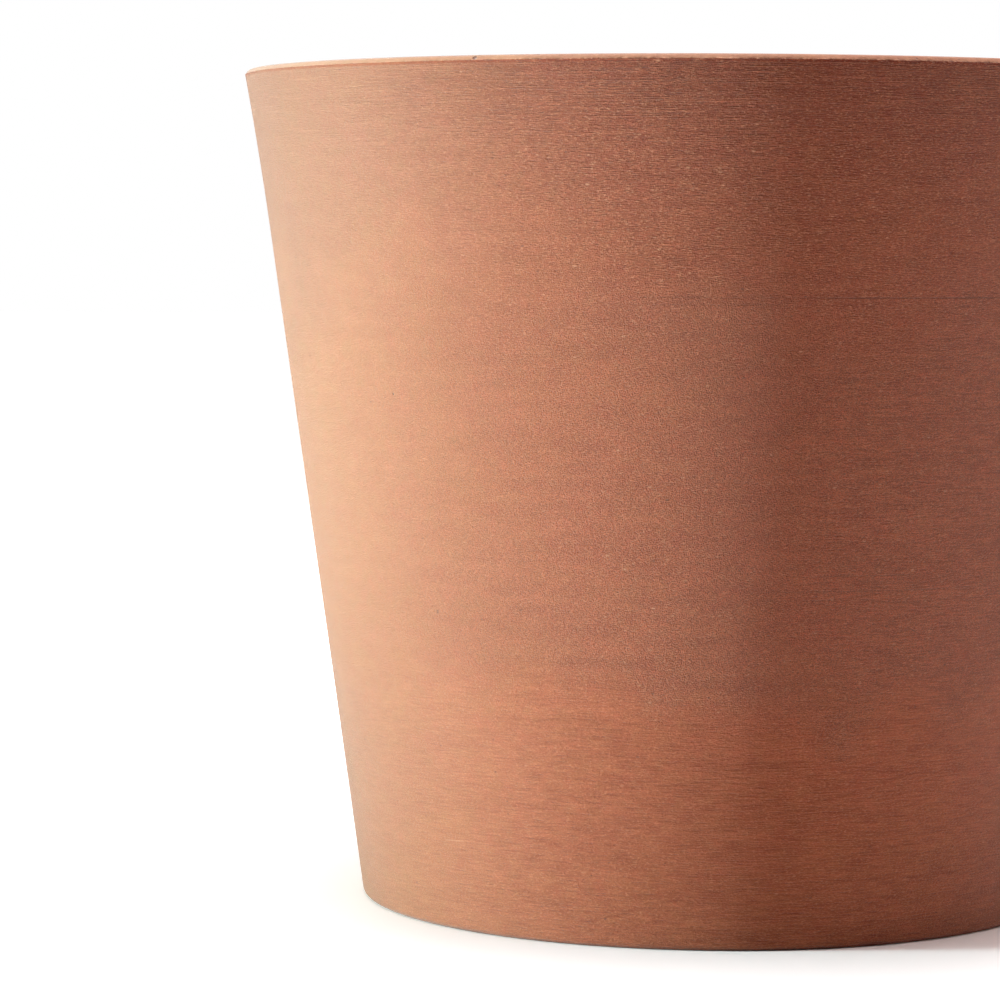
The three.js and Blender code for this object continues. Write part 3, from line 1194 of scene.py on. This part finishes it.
@dataclass(frozen=True)
class PotShell:
    """The pot: wall, rim, floor, foot ring and drain seat, turned as one shell."""

    seat: DrainSeat
    finish: StonePlastic
    marks: Sequence[ToolMark]
    rim_radius: float = 100.0
    foot_radius: float = 74.0
    height: float = 177.0
    flare_height: float = 34.0
    flare_out: float = 0.7
    flare_steps: int = 12
    rim_edge_width: float = 1.5
    rim_edge_drop: float = 0.8
    rim_edge_wear: float = 0.2
    rim_edge_steps: int = 8
    rim_bevel: float = 0.4
    rim_bevel_lean: float = 0.78
    foot_round: float = 1.4
    wall: float = 5.0
    rim_inner_round: float = 1.5
    floor_corner_round: float = 9.0
    floor_corner_steps: int = 12
    foot_ring_width: float = 9.0
    foot_recess: float = 4.0
    recess_round: float = 3.0
    edge_break: float = 0.6
    edge_steps: int = 3
    segments: int = 320
    ripple_depth: float = 0.03
    ripple_pitch: float = 7.0
    relief_fades_at_foot: float = 8.0
    relief_fades_at_rim: float = 6.0
    seed: int = 3

    @property
    def rim_edge_bottom(self) -> float:
        """Height of the crease between the wall and the rim's soft edge."""
        return self.height - self.rim_edge_drop

    @property
    def worn_edge_bottom(self) -> float:
        """Height down to which the rim's soft edge is worn."""
        return self.rim_edge_bottom - self.rim_edge_wear

    @property
    def flare_start(self) -> float:
        """Height at which the wall starts to lean out more."""
        return self.rim_edge_bottom - self.flare_height

    @property
    def slope(self) -> float:
        """How far the wall leans out for each millimetre that it rises."""
        return (self.rim_radius - self.flare_out - self.foot_radius) / self.rim_edge_bottom

    def outer_radius(self, z: float) -> float:
        """Radius of the outside at a height."""
        into_flare = max(0.0, (z - self.flare_start) / self.flare_height)
        return self.foot_radius + self.slope * z + self.flare_out * into_flare**2

    def inner_radius(self, z: float) -> float:
        """Radius of the inside at a height."""
        return self.outer_radius(z) - self.wall * math.hypot(1, self.slope)

    def profile(self) -> Profile:
        """The shell's outline.

        Returns:
            The outline, from the drain hole along the underside, up the outside and down the inside.
        """
        seat = self.seat
        collar = seat.hole_radius + seat.collar_width
        ring_inner = self.foot_radius - self.foot_ring_width
        softened = partial(Corner, round=self.edge_break, steps=self.edge_steps)
        floor_edge = self.inner_radius(seat.floor_top)
        corners = [
            softened(seat.hole_radius, seat.collar_under),
            softened(collar, seat.collar_under),
            Corner(collar, self.foot_recess),
            Corner(ring_inner, self.foot_recess, self.recess_round),
            softened(ring_inner, 0.0),
            Corner(self.foot_radius, 0.0, self.foot_round),
            *self._flare(self.outer_radius, self.flare_start, self.worn_edge_bottom),
            *self._rim_edge(),
            Corner(self.inner_radius(self.height), self.height, self.rim_inner_round),
            *self._flare(self.inner_radius, self.height - 2 * self.rim_inner_round, self.flare_start),
            Corner(floor_edge, seat.floor_top, self.floor_corner_round, self.floor_corner_steps),
            softened(seat.seat_radius, seat.floor_top),
            Corner(seat.seat_radius, seat.seat_top),
            softened(seat.hole_radius, seat.seat_top),
        ]
        rows = sorted(row for mark in self.marks for row in mark.rows)
        return Profile(corners, wall_from=self.foot_radius - self.foot_round, wall_heights=rows)

    def _flare(self, radius_at: Callable[[float], float], start: float, end: float) -> list[Corner]:
        """Corners that follow a radius formula from one height to another."""
        heights = (start + (end - start) * i / self.flare_steps for i in range(self.flare_steps + 1))
        return [Corner(radius_at(z), z) for z in heights]

    def _rim_edge(self) -> list[Corner]:
        """The rim's outer edge.

        Returns:
            Corners of a narrow bevel and of a low arc that runs level into the flat land.
        """
        land_edge = self.rim_radius - self.rim_edge_width
        bevel_top = self.worn_edge_bottom + self.rim_bevel
        width = self.outer_radius(self.worn_edge_bottom) - self.rim_bevel * self.rim_bevel_lean - land_edge
        drop = self.height - bevel_top
        radius = (width**2 + drop**2) / (2 * drop)
        crease = math.atan2(width, radius - drop)
        angles = (crease * (1 - i / self.rim_edge_steps) for i in range(self.rim_edge_steps + 1))
        centre = Vector((land_edge, self.height - radius))
        return [Corner(centre.x + radius * math.sin(a), centre.y + radius * math.cos(a)) for a in angles]

    def on_the_wall(self, point: Vector) -> float:
        """How much relief the outside takes at a point of the profile.

        Args:
            point: the point, at its radius and height.

        Returns:
            The share of the relief, from 0 inside, at the foot and at the rim to 1.
        """
        if point.x < self.outer_radius(point.y) - self.wall / 2:
            return 0.0
        from_foot = (point.y - 3 * self.foot_round) / self.relief_fades_at_foot
        from_rim = (self.rim_edge_bottom - point.y) / self.relief_fades_at_rim
        share = min(1.0, max(0.0, min(from_foot, from_rim)))
        return share * share * (3 - 2 * share)

    def build(self) -> bpy.types.Object:
        """Makes the shell and dresses it.

        Returns:
            The piece, riding on the pot's body in place of its CAD node.
        """
        form = LATHE.worn_form("worn shell", self.marks)
        piece = LATHE.make("pot_body", self.profile(), self.on_the_wall, form, {
            "Segments": self.segments, "Material": self.finish.material(),
            "Ripple Depth": self.ripple_depth * MM, "Ripple Pitch": self.ripple_pitch * MM,
            "Seed": float(self.seed),
        })
        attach(piece, Body.POT.value)
        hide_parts("pot_shell")
        return piece


def fallen(radius: float, past: float) -> float:
    """How far a round edge has fallen back at a distance past its start."""
    return radius - math.sqrt(radius**2 - max(0.0, past) ** 2)


class TabSection(NamedTuple):
    """A level section of the tab: a rectangle with round corners."""

    z: float
    half_length: float
    half_width: float
    corner: float


@dataclass(frozen=True)
class DrainPlug:
    """The rubber plug: a flange on a hollow stem with sealing beads, and a grip tab, moulded in one.

    The tab's hold is how far from a corner's arc a point holds its shading. The tight hold is the share of it
    that is left where a side is too short.
    """

    seat: DrainSeat
    finish: Rubber
    edge_round: float = 0.5
    stem_wall: float = 2.6
    hollow_roof: float = 1.2
    stem_taper: float = 0.5
    bead_count: int = 2
    bead_rise: float = 0.5
    bead_width: float = 1.5
    bead_steps: int = 10
    end_clear: float = 0.9
    tab_length: float = 15.0
    tab_width: float = 3.6
    tab_height: float = 6.0
    tab_shoulder: float = 3.5
    tab_round: float = 1.1
    tab_root: float = 0.9
    tab_sink: float = 0.06
    tab_steps: int = 6
    tab_hold: float = 0.2
    tab_tight_hold: float = 0.01
    tab_end_share: float = 0.95
    row_hold: float = 0.15
    row_longest: float = 1.6
    segments: int = 128

    def stem_radius(self, z: float) -> float:
        """Radius of the tapered stem between its beads."""
        down = (self.seat.flange_under - z) / (self.seat.flange_under - self.end_clear)
        return self._neck - self.stem_taper * down

    @property
    def _neck(self) -> float:
        """Radius of the stem just under the flange."""
        return self.seat.hole_radius - self.seat.gap - self.bead_rise

    def _beads(self) -> list[Corner]:
        """The sealing beads.

        Returns:
            Their corners, from the lowest up.
        """
        low, high = self.seat.collar_under, self.seat.flange_under
        corners = []
        for bead in range(self.bead_count):
            middle = low + (high - low) * (bead + 0.5) / self.bead_count
            for step in range(self.bead_steps + 1):
                across = step / self.bead_steps - 0.5
                z = middle + across * self.bead_width
                rise = self.bead_rise * math.cos(across * math.pi) ** 2
                corners.append(Corner(self.stem_radius(z) + rise, z))
        return corners

    def profile(self) -> Profile:
        """The stopper's outline.

        Returns:
            The outline, from the hollow's roof down and out, and up over the flange to the axis.
        """
        seat = self.seat
        hollow = self._neck - self.stem_taper - self.stem_wall
        roof = seat.flange_under - self.hollow_roof
        corners = [
            Corner(0.0, roof),
            Corner(hollow, roof, self.edge_round, steps=3),
            Corner(hollow, self.end_clear),
            Corner(self.stem_radius(self.end_clear), self.end_clear, self.edge_round, steps=3),
            *self._beads(),
            Corner(self._neck, seat.flange_under),
            Corner(seat.flange_radius, seat.flange_under, self.edge_round, steps=4),
            Corner(seat.flange_radius, seat.floor_top, self.edge_round, steps=5),
            Corner(0.0, seat.floor_top),
        ]
        return Profile(corners, closed=False, hold=self.row_hold, longest=self.row_longest)

    def _tab_sections(self) -> list[TabSection]:
        """The tab's level sections.

        Returns:
            The sections, from the root, which reaches into the flange, up over the rounded shoulder.
        """
        steps = self.tab_steps
        top = self.seat.floor_top + self.tab_height
        base = self.seat.floor_top - self.tab_sink
        root = [base + self.tab_root * (1 - math.cos(QUARTER_TURN * i / steps)) for i in range(steps + 1)]
        rises = [math.sin(QUARTER_TURN * i / (2 * steps)) for i in range(2 * steps + 1)]
        shoulder = [top - self.tab_shoulder * (1 - rise) for rise in rises]
        sections = []
        for z in [base - self.seat.flange_thickness / 2, *root, *shoulder]:
            spread = fallen(self.tab_root, self.tab_root - max(0.0, z - base))
            half_length, half_width = (
                side / 2 - fallen(radius, z - top + radius) + spread
                for side, radius in ((self.tab_length, self.tab_shoulder), (self.tab_width, self.tab_round))
            )
            corner = min(half_width * self.tab_end_share, self.tab_round + spread)
            sections.append(TabSection(z, half_length, half_width, corner))
        return sections

    def _ring(self, section: TabSection) -> list[Vector]:
        """The points of one level section of the tab.

        Args:
            section: the section.

        Returns:
            Its points in order, with one beside each end of a corner's arc to hold its shading.
        """
        points = []
        for quarter, (side_x, side_y) in enumerate(((1, 1), (-1, 1), (-1, -1), (1, -1))):
            centre = Vector(((section.half_length - section.corner) * side_x,
                             (section.half_width - section.corner) * side_y))
            arc = [QUARTER_TURN * (quarter + i / self.tab_steps) for i in range(self.tab_steps + 1)]
            on_arc = [centre + section.corner * Vector((math.cos(a), math.sin(a))) for a in arc]
            halves = (section.half_length, section.half_width)
            before, after = (
                Vector((-math.sin(a), math.cos(a))) * self.tab_hold
                * (1.0 if half - section.corner > self.tab_hold else self.tab_tight_hold)
                for a, half in zip((arc[0], arc[-1]), halves if quarter % 2 else halves[::-1])
            )
            points += [on_arc[0] - before, *on_arc, on_arc[-1] + after]
        return [Vector((point.x, point.y, section.z)) * MM for point in points]

    def _tab(self) -> bpy.types.Object:
        """The grip tab.

        Returns:
            A closed body, lofted through the tab's sections.
        """
        shape = bmesh.new()
        rings = [[shape.verts.new(point) for point in self._ring(section)]
                 for section in self._tab_sections()]
        for lower, upper in zip(rings, rings[1:]):
            for i, here in enumerate(lower):
                after = (i + 1) % len(lower)
                shape.faces.new((here, lower[after], upper[after], upper[i]))
        shape.faces.new(reversed(rings[0]))
        shape.faces.new(rings[-1])
        for face in shape.faces:
            face.smooth = True
        return placed("tab", mesh_of("tab", shape))

    def build(self) -> bpy.types.Object:
        """Makes the plug and dresses it.

        Returns:
            The piece, riding on the plug's body in place of its CAD node.
        """
        material = self.finish.material()
        form = LATHE.plain_form("turned stopper")
        piece = LATHE.make("drain_stopper", self.profile(), lambda _: 0.0, form, {
            "Segments": self.segments, "Material": material,
        })
        tab = self._tab()
        tab.data.materials.append(material)
        union = piece.modifiers.new("tab", "BOOLEAN")
        union.operation = "UNION"
        union.solver = "EXACT"
        union.object = tab
        bake(piece)
        bpy.data.objects.remove(tab)
        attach(piece, Body.PLUG.value)
        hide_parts("drain_plug")
        return piece


@dataclass(frozen=True)
class SoftLamp:
    """An oblong soft lamp that faces a point on the pot's axis.

    Its level is the light that falls on a surface at that point, in watts to the square metre.
    """

    name: str
    level: float
    angle: float
    away: float
    height: float
    width: float
    tall: float
    aim: float = 90.0
    colour: Colour = WHITE

    def build(self) -> None:
        """Makes the lamp, which the camera doesn't see."""
        place = on_wall(self.angle, self.away, self.height)
        reach = place - Vector((0.0, 0.0, self.aim * MM))
        data = bpy.data.lights.new(self.name, "AREA")
        data.shape = "RECTANGLE"
        data.size = self.width * MM
        data.size_y = self.tall * MM
        data.color = self.colour
        data.energy = self.level * math.pi * reach.length_squared
        lamp = placed(self.name, data)
        lamp.location = place
        lamp.rotation_euler = reach.to_track_quat("Z", "Y").to_euler()
        lamp.visible_camera = False


@dataclass(frozen=True)
class Floor:
    """A large level disc, lit like the pot, that is whiter to the eye and runs into the white backdrop."""

    radius: float = 6000.0
    segments: int = 96
    colour: Colour = (0.63, 0.58, 0.56)
    seen_colour: Colour = (1.20, 1.22, 1.21)
    roughness: float = 0.9
    fade: Pair = (160.0, 420.0)

    def build(self) -> None:
        """Makes the disc and marks it as part of the stage."""
        shape = bmesh.new()
        bmesh.ops.create_circle(shape, cap_ends=True, segments=self.segments, radius=self.radius * MM)
        floor = placed("studio_floor", mesh_of("studio_floor", shape))
        floor.data.materials.append(self._material())
        floor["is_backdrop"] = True

    def _material(self) -> bpy.types.Material:
        """Pale and matte.

        Returns:
            A material that away from the pot has the backdrop's own white to the eye.
        """
        skin = Skin.start("studio_floor")
        seen = skin.highest(*rays_to_the_eye(skin))
        return skin.surface({
            "Base Color": skin.mix_colour(seen, self.colour, self.seen_colour),
            "Roughness": self.roughness,
            "Specular IOR Level": 0.0,
            "Emission Color": WHITE,
            "Emission Strength": skin.times(seen, skin.across(skin.length(skin.place), self.fade)),
        })


def rays_to_the_eye(wiring: Wiring) -> tuple[Output, Output]:
    """Whether a ray comes from the camera, and whether from a gloss or through glass."""
    path = wiring.node("ShaderNodeLightPath").outputs
    return path["Is Camera Ray"], wiring.highest(path["Is Glossy Ray"], path["Is Transmission Ray"])


@dataclass(frozen=True)
class Backdrop:
    """Weak even light, with white where the camera sees it and behind the pot in its gloss."""

    colour: Colour = (1.0, 0.97, 0.95)
    level: float = 0.04
    behind: Pair = (0.0, 0.35)

    def build(self) -> None:
        """Makes the world."""
        world = bpy.data.worlds.new("studio")
        world.use_nodes = True
        bpy.context.scene.world = world
        wiring = Wiring(world.node_tree)
        room = world.node_tree.nodes["Background"]
        wiring.feed(room.inputs["Color"], self.colour)
        wiring.feed(room.inputs["Strength"], self.level)
        white = wiring.result("ShaderNodeBackground", {"Color": WHITE, "Strength": 1.0})
        camera, mirrored = rays_to_the_eye(wiring)
        direction = wiring.node("ShaderNodeTexCoord").outputs["Generated"]
        behind = wiring.ramp(wiring.apart(direction)[1], *self.behind)
        share = wiring.highest(camera, wiring.times(mirrored, behind))
        mix = wiring.node("ShaderNodeMixShader", {"Fac": share})
        wiring.feed(mix.inputs[1], room.outputs[0])
        wiring.feed(mix.inputs[2], white)
        wiring.feed(world.node_tree.nodes["World Output"].inputs["Surface"], mix.outputs[0])


@dataclass(frozen=True)
class Camera:
    """The camera, where the photograph's stood: in front of the axis, level but for a few degrees."""

    distance: float = 857.41
    height: float = 143.01
    lens: float = 142.70
    sensor: float = 36.0
    nearest: float = 10.0
    yaw: float = -3.000
    pitch: float = 3.880
    roll: float = 0.325

    def build(self) -> None:
        """Makes the camera and sets it as the scene's."""
        data = bpy.data.cameras.new("camera")
        data.sensor_width = self.sensor
        data.lens = self.lens
        data.clip_start = self.nearest * MM
        camera = placed("camera", data)
        camera.location = Vector((0.0, -self.distance, self.height)) * MM
        level = Euler((math.radians(90 - self.pitch), 0.0, math.radians(-self.yaw))).to_matrix()
        rolled = level @ Matrix.Rotation(math.radians(self.roll), 3, "Z")
        camera.rotation_euler = rolled.to_euler()
        bpy.context.scene.camera = camera


LAMPS = (
    SoftLamp("key", level=4.39, angle=-74, away=700, height=170, width=75, tall=300,
             colour=(0.84, 1.06, 1.07)),
    SoftLamp("overhead", level=3.79, angle=0, away=0, height=1000, width=600, tall=600, aim=0,
             colour=(1.08, 0.94, 0.96)),
    SoftLamp("fill", level=0.43, angle=95, away=600, height=300, width=350, tall=350,
             colour=(1.12, 0.90, 0.76)),
)

TOOL_MARKS = (
    ToolMark(height=130.5, middle=29.0, reach=24.0, depth=0.07, broken=0.3),
    ToolMark(height=130.5, middle=0.0, reach=13.0, depth=0.03, broken=0.8),
    ToolMark(height=129.1, middle=4.0, reach=16.0, depth=0.025, broken=0.8),
    ToolMark(height=72.8, middle=25.0, reach=21.0, depth=0.045, broken=0.7),
    ToolMark(height=75.9, middle=21.0, reach=11.0, depth=0.04, broken=0.6),
    ToolMark(height=71.1, middle=16.0, reach=11.0, depth=0.03, broken=0.7),
)

BLEMISHES = (
    Blemish(Trace.PIT, angle=-44.7, radius=90.0, height=110.3, length=0.6, width=0.5, strength=0.7),
    Blemish(Trace.PIT, angle=29.6, radius=83.3, height=64.5, length=2.6, width=0.3, tilt=-30.0, strength=0.5),
    Blemish(Trace.PIT, angle=-27.25, radius=99.7, height=176.4, length=1.1, width=0.7, strength=0.8),
    Blemish(Trace.PIT, angle=23.2, radius=99.7, height=176.4, length=0.5, width=0.4, strength=0.5),
    Blemish(Trace.SMEAR, angle=-41.7, radius=76.7, height=19.0, length=7.5, width=0.35, tilt=3.0,
            strength=0.3),
)


def report(piece: bpy.types.Object) -> None:
    """Logs a piece's name, triangles and size.

    Args:
        piece: the finished piece.
    """
    triangles = sum(len(face.vertices) - 2 for face in piece.data.polygons)
    size = " x ".join(f"{side / MM:.1f}" for side in piece.dimensions)
    log.info("%s: %d triangles, %s mm", piece.name, triangles, size)


def record_sizes() -> None:
    """Works out the box of the CAD model and the box of the dressed one."""
    boxes = {"cad": CAD_BOX, "visual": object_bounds()}
    {name: [list(corner) for corner in box] for name, box in boxes.items()}


def main() -> None:
    """Builds the pot, its plug and the studio."""
    logging.basicConfig(level=logging.INFO, format="%(name)s: %(message)s")
    seat = DrainSeat()
    parts = (
        PotShell(seat=seat, finish=StonePlastic(blemishes=BLEMISHES), marks=TOOL_MARKS),
        DrainPlug(seat=seat, finish=Rubber()),
    )
    for part in parts:
        report(part.build())
    for part in (*LAMPS, Floor(), Backdrop(), Camera()):
        part.build()
    bpy.context.scene.view_settings.view_transform = "Standard"


if __name__ == "__main__":
    main()
    record_sizes()
